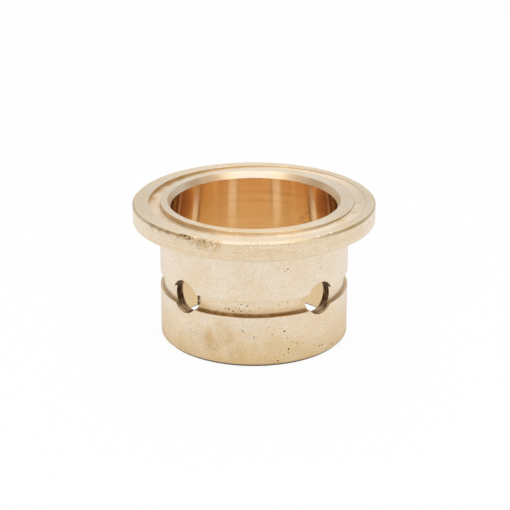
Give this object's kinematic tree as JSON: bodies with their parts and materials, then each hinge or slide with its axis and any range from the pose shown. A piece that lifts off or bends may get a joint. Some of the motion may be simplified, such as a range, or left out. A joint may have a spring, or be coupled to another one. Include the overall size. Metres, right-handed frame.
{
  "type": "flanged bushing",
  "caption": "Bronze flanged bushing: a plain bored sleeve with a thick thrust flange, an oil groove in the flange face, and an oil groove with cross holes round the sleeve.",
  "frame": {"origin": "centre of the foot, on the surface that the bushing stands on", "axes": "+Z along the bore towards the flange's face, +X and +Y through two of the cross holes"},
  "size_m": [0.1016, 0.1016, 0.0592],
  "materials": {
    "bronze": "turned bearing bronze, satin outside, polished in the bore, with small casting pores and brown stains"
  },
  "bodies": {
    "root": {"bushing": "bronze"}
  },
  "joints": []
}
